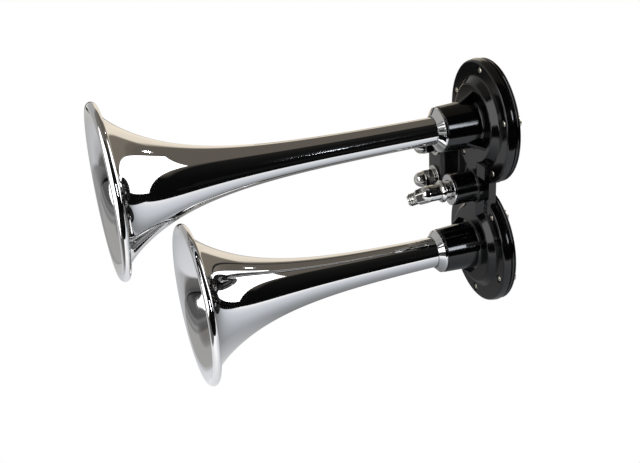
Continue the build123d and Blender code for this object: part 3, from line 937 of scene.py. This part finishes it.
class HORN_OT_add_fasteners(bpy.types.Operator):
    """Add the two stacks of bolt, washers and acorn nut"""

    bl_idname = "horn.add_fasteners"
    bl_label = "Add Fasteners"

    def execute(self, context):
        for half in HALVES:
            centre = bolt_centre(half)
            back = STRAP_FRONT + PLATE
            bolt = hex_bar("bolt", ACROSS_FLATS, back, back + 5.3, centre, 0.5)
            shank = [(0, STRAP_FRONT - 14), (3.6, STRAP_FRONT - 14), (BOLT_R, STRAP_FRONT - 13.5),
                     (BOLT_R, back + 1), (0, back + 1)]
            cut(bolt, turned("shank", shank, centre, 48), "UNION")
            keep_flats_flat(bolt)
            ring = [(4.2, -WASHER_T), (9.75, -WASHER_T), (9.75, 0), (4.2, 0)]
            ring = [(r, STRAP_FRONT + y) for r, y in rounded(ring, {0: 0.2, 1: 0.6, 2: 0.4})]
            flat = keep_flats_flat(turned("flat washer", ring, centre, 96))
            lock = split_washer(STRAP_FRONT - WASHER_T, centre)
            nut = acorn_nut(STRAP_FRONT - 2 * WASHER_T, centre)
            stack = ((bolt, "mount_bolt", zinc(), "zinc"), (flat, "flat_washer", fitting_metal(), "zinc"),
                     (lock, "lock_washer", fitting_metal(), "zinc"),
                     (nut, "acorn_nut", fitting_metal(), "plated_metal"))
            for piece, kind, material, slot in stack:
                node = half + "_" + kind
                piece.name = piece.data.name = node + "_piece"
                finish(piece, material, slot, node)
        return {"FINISHED"}


# --- Stage ----------------------------------------
# Places on the stage are in metres from the middle of the flanges' front plane, on the horn's own axes.
WHITE = (1.0, 1.0, 1.0)
DARK = (.004, .004, .004)


def grey(level):
    return (level, level, level)


# What the floor shows in reflections, painted light from the camera's side and a painted shadow of the horn
# under it: (x, colour) stops across it, in strips from the housing towards the mouths and beyond. Each strip
# but the first starts over a range of y.
FLOOR_SPAN = (-0.6, 0.4)
FLOOR_BESIDE = (
    (-0.52, grey(.02)), (-0.44, (.30, .28, .26)), (-0.28, grey(.44)), (-0.16, grey(.40)), (-0.07, grey(.21)),
    (-0.01, (.30, .30, .31)), (0.03, (.42, .44, .46)), (0.06, (.60, .63, .67)), (0.09, (.78, .82, .87)),
    (0.14, (.94, .98, 1.04)), (0.20, (1.10, 1.12, 1.16)), (0.29, grey(1.45)))
FLOOR_BEFORE = (
    (-0.50, grey(.02)), (-0.43, (.30, .28, .26)), (-0.33, grey(.58)), (-0.14, (.68, .69, .71)),
    (-0.05, (.94, .96, .99)), (0.03, (1.1, 1.1, 1.12)), (0.12, grey(1.5)))
FLOOR_FRONT = (
    (-0.30, (.66, .66, .65)), (-0.12, (.80, .81, .83)), (-0.01, (.62, .62, .63)), (0.035, (.21, .205, .20)),
    (0.20, grey(.10)))
FLOOR_DISTANT = ((-0.20, grey(.46)), (-0.05, grey(.32)), (0.10, grey(.25)), (0.30, grey(.11)))
FLOOR_STRIPS = (
    ((-0.14, -0.25), FLOOR_BEFORE), ((-0.33, -0.35), FLOOR_FRONT), ((-0.66, -0.72), FLOOR_DISTANT))
FLOOR_BEHIND = (1.05, .94, .78)
FLOOR_FAR_SIDE = grey(.01)

# Surround of the studio: azimuth from -Y towards +X (90 to 450) and elevation, in degrees, softness, colour.
SURROUND = (
    ("ceiling", (153, 262), (22, 100), 4, (.172, .152, .126)),
    ("far ceiling", (255, 352), (33, 100), 4, (.25, .235, .215)),
    ("warm wall", (229, 262), (-40, 24), 2, (1.15, 1.03, .85)),
    ("wall behind", (165, 230), (-40, 24), 2, (.26, .23, .19)),
    ("grey wall", (262, 350), (-40, 34), 4, (.54, .535, .52)),
    ("grey wall end", (350, 362), (-40, 34), 5, (.42, .42, .415)),
    ("grey wall fall", (362, 372), (-40, 34), 4, grey(.27)),
    ("dark corner", (372, 388), (-40, 34), 4, grey(.14)),
)
OPEN_ROOM = ((-10.0, DARK), (15.0, grey(.005)), (45.0, (.011, .011, .0105)), (75.0, (.03, .028, .026)))

# Softboxes: one corner and the two sides of each.
SOFTBOXES = (
    ("softbox_right", (-.38, .80, .005), (.84, 0, 0), (0, 0, 1.145)),
    ("softbox_left", (.088, -.44, -.06), (.303, 0, .175), (-.225, 0, .39)),
)
# Smaller cards, with their colours.
CARDS = (
    ("softbox_side", (6.0, 1.70, 1.92), (0, .55, 0), (0, 0, 2.0), (16, 16.8, 18)),
    ("lamp", (-.892, 1.191, 1.194), (.032, .024, 0), (.034, -.046, .069), grey(160)),
    ("lamp_glow", (-.946, 1.223, 1.184), (.072, .054, 0), (.068, -.092, .138), grey(.9)),
    ("flag_near", (.234, -.45, -.092), (0, .84, 0), (0, 0, .08), DARK),
    ("flag_left", (-.117, -.14, .066), (0, .30, 0), (0, 0, .014), grey(.03)),
)
# Dark cards that stand on the floor: foot, width and the height of the top edge.
FLOOR_FLAGS = (
    ("flag_right", (-.45, .43), 1.05, -.03),
    ("skirt_right", (-.50, .81), 1.7, .005),
)


def lit(tree, colour, kind="ShaderNodeEmission"):
    """Node that glows in one colour."""
    node = tree.nodes.new(kind)
    feed(tree, node.inputs["Color"], colour)
    return node.outputs[0]


def camera_switch(tree, reflected, seen):
    """Shader that shows one glow to the camera and another to everything else."""
    path = tree.nodes.new("ShaderNodeLightPath")
    mix = tree.nodes.new("ShaderNodeMixShader")
    for socket, link in zip(mix.inputs, (path.outputs["Is Camera Ray"], reflected, seen)):
        tree.links.new(link, socket)
    return mix.outputs[0]


def empty_material(name):
    material = bpy.data.materials.new(name)
    material.use_nodes = True
    tree = material.node_tree
    tree.nodes.clear()
    return material, tree, tree.nodes.new("ShaderNodeOutputMaterial")


def stage_card(name, corner, along, up, colour):
    """Flat card from one corner and its two sides, in metres. It shows only in reflections."""
    deselect()
    bpy.ops.mesh.primitive_plane_add(size=1)
    card = named(name)
    corner, along, up = Vector(corner), Vector(along), Vector(up)
    normal = along.cross(up).normalized()
    middle = corner + (along + up) / 2
    matrix = Matrix((along, up, normal)).transposed().to_4x4()
    card.matrix_world = Matrix.Translation(middle) @ matrix
    material, tree, output = empty_material(name + " glow")
    tree.links.new(lit(tree, colour), output.inputs["Surface"])
    card.data.materials.append(material)
    card.visible_camera = False
    card.visible_shadow = False
    card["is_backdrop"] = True


def ramp_node(tree, value, low, high, stops):
    """Colour ramp over a range of values, from (value, colour) stops."""
    spread = range_node(tree, value, low, high, 0.0, 1.0)
    ramp = tree.nodes.new("ShaderNodeValToRGB")
    elements = ramp.color_ramp.elements
    while len(elements) < len(stops):
        elements.new(0.5)
    for element, (place, colour) in zip(elements, stops):
        element.position = (place - low) / (high - low)
    for element, (place, colour) in zip(elements, stops):
        element.color = (*colour, 1)
    tree.links.new(spread, ramp.inputs[0])
    return ramp.outputs[0]


def step_up(tree, value, start, stop):
    """Mask that rises from 0 to 1 between two values."""
    return range_node(tree, value, start, stop, 0.0, 1.0)


def band(tree, value, start, stop, soft):
    """Mask that is 1 between two values, with soft edges."""
    rise = step_up(tree, value, start - soft, start + soft)
    fall = range_node(tree, value, stop - soft, stop + soft, 1.0, 0.0)
    return math_node(tree, "MULTIPLY", rise, fall)


def floor_material(centre):
    """White to the camera. In reflections it shows painted light, bright on the camera's side, and a painted
    shadow of the horn under it.
    """
    material, tree, output = empty_material("Floor glow")
    place = tree.nodes.new("ShaderNodeTexCoord")
    shift = tree.nodes.new("ShaderNodeVectorMath")
    shift.operation = "SUBTRACT"
    shift.inputs[1].default_value = centre
    tree.links.new(place.outputs["Object"], shift.inputs[0])
    split = tree.nodes.new("ShaderNodeSeparateXYZ")
    tree.links.new(shift.outputs[0], split.inputs[0])
    x, y = split.outputs[0], split.outputs[1]
    colour = ramp_node(tree, x, *FLOOR_SPAN, FLOOR_BESIDE)
    for edge, stops in FLOOR_STRIPS:
        strip = ramp_node(tree, x, *FLOOR_SPAN, stops)
        colour = mix_colour(tree, step_up(tree, y, *edge), colour, strip)
    behind = math_node(tree, "MULTIPLY", step_up(tree, x, -0.28, -0.38), step_up(tree, y, -0.10, -0.02))
    colour = mix_colour(tree, behind, colour, FLOOR_BEHIND)
    colour = mix_colour(tree, step_up(tree, x, 0.42, 0.46), colour, FLOOR_FAR_SIDE)
    glow = camera_switch(tree, lit(tree, colour), lit(tree, WHITE))
    tree.links.new(glow, output.inputs["Surface"])
    return material


def studio_world(scene):
    """White to the camera. In reflections it is the surround, dark on the camera's own side."""
    world = bpy.data.worlds.new("Studio")
    scene.world = world
    world.use_nodes = True
    tree = world.node_tree
    tree.nodes.clear()
    place = tree.nodes.new("ShaderNodeTexCoord")
    split = tree.nodes.new("ShaderNodeSeparateXYZ")
    tree.links.new(place.outputs["Generated"], split.inputs[0])
    x, y, z = split.outputs
    turn = math_node(tree, "ARCTAN2", x, math_node(tree, "MULTIPLY", y, -1.0))
    degrees = math_node(tree, "MULTIPLY", turn, 180 / math.pi)
    turned_on = math_node(tree, "SUBTRACT", degrees, 90.0)
    azimuth = math_node(tree, "ADD", math_node(tree, "FLOORED_MODULO", turned_on, 360.0), 90.0)
    rise = math_node(tree, "MULTIPLY", math_node(tree, "ARCSINE", z), 180 / math.pi)
    colour = ramp_node(tree, rise, -90.0, 90.0, OPEN_ROOM)
    for name, across, up, soft, shade in SURROUND:
        mask = math_node(tree, "MULTIPLY", band(tree, azimuth, *across, soft), band(tree, rise, *up, 4))
        colour = mix_colour(tree, mask, colour, shade)
    kind = "ShaderNodeBackground"
    output = tree.nodes.new("ShaderNodeOutputWorld")
    glow = camera_switch(tree, lit(tree, colour, kind), lit(tree, WHITE, kind))
    tree.links.new(glow, output.inputs["Surface"])


def add_floor(middle, floor_z):
    deselect()
    bpy.ops.mesh.primitive_plane_add(size=6, location=(0, 0, floor_z))
    floor = named("floor")
    floor.data.materials.append(floor_material(tuple(middle)))
    floor.visible_shadow = False
    floor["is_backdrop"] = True


def add_camera(scene, middle, lens):
    deselect()
    bpy.ops.object.camera_add()
    camera = named("camera")
    camera.data.lens = lens
    camera.data.sensor_width = 36
    camera.data.clip_start = 0.01
    camera.data.clip_end = 50
    turn = Matrix((Vector(CAMERA_RIGHT), -Vector(CAMERA_DOWN), -Vector(CAMERA_AHEAD))).transposed().to_4x4()
    camera.matrix_world = Matrix.Translation(Vector(CAMERA_PLACE) * MM + middle) @ turn
    scene.camera = camera


class HORN_OT_add_stage(bpy.types.Operator):
    """Add the floor, the softboxes, the lamp, the dark flags, the surround and the camera"""

    bl_idname = "horn.add_stage"
    bl_label = "Add Stage"

    def execute(self, context):
        scene = context.scene
        stage = scene.horn_stage
        scene.view_settings.view_transform = "Standard"
        middle = Vector((AXIS_X, FACE, 0)) * MM
        floor_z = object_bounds()[0].z - stage.floor_drop
        add_floor(middle, floor_z)
        for name, corner, along, up in SOFTBOXES:
            stage_card(name, middle + Vector(corner), along, up, grey(stage.softbox))
        for name, corner, along, up, colour in CARDS:
            stage_card(name, middle + Vector(corner), along, up, colour)
        for name, foot, width, top in FLOOR_FLAGS:
            stage_card(name, middle + Vector((*foot, floor_z)), (width, 0, 0), (0, 0, top - floor_z), DARK)
        studio_world(scene)
        add_camera(scene, middle, stage.lens)
        return {"FINISHED"}


class HORN_PT_pieces(bpy.types.Panel):
    """Lists the pieces and the stage in the sidebar"""

    bl_idname = "HORN_PT_pieces"
    bl_label = "Air Horn"
    bl_space_type = "VIEW_3D"
    bl_region_type = "UI"
    bl_category = "Air Horn"

    def draw(self, context):
        for operator in OPERATORS:
            self.layout.operator(operator.bl_idname)
        for group in (context.scene.horn_trumpets, context.scene.horn_finish, context.scene.horn_stage):
            for name in group.bl_rna.properties.keys():
                if name not in ("rna_type", "name"):
                    self.layout.prop(group, name)


SETTINGS = {"horn_trumpets": TrumpetSettings, "horn_finish": FinishSettings, "horn_stage": StageSettings}
OPERATORS = (HORN_OT_add_trumpets, HORN_OT_add_collars, HORN_OT_add_housing, HORN_OT_add_rear_covers,
             HORN_OT_finish_inner_pieces, HORN_OT_add_cover_screws, HORN_OT_add_inlet, HORN_OT_add_bracket,
             HORN_OT_add_fasteners, HORN_OT_add_stage)


def register():
    for settings_class in SETTINGS.values():
        bpy.utils.register_class(settings_class)
    for operator in OPERATORS:
        bpy.utils.register_class(operator)
    bpy.utils.register_class(HORN_PT_pieces)
    for name, settings_class in SETTINGS.items():
        setattr(bpy.types.Scene, name, bpy.props.PointerProperty(type=settings_class))


def unregister():
    for name in SETTINGS:
        delattr(bpy.types.Scene, name)
    bpy.utils.unregister_class(HORN_PT_pieces)
    for operator in reversed(OPERATORS):
        bpy.utils.unregister_class(operator)
    for settings_class in SETTINGS.values():
        bpy.utils.unregister_class(settings_class)


def main():
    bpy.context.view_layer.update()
    register()
    for operator in OPERATORS:
        module, name = operator.bl_idname.split(".")
        getattr(getattr(bpy.ops, module), name)()


if __name__ == "__main__":
    main()
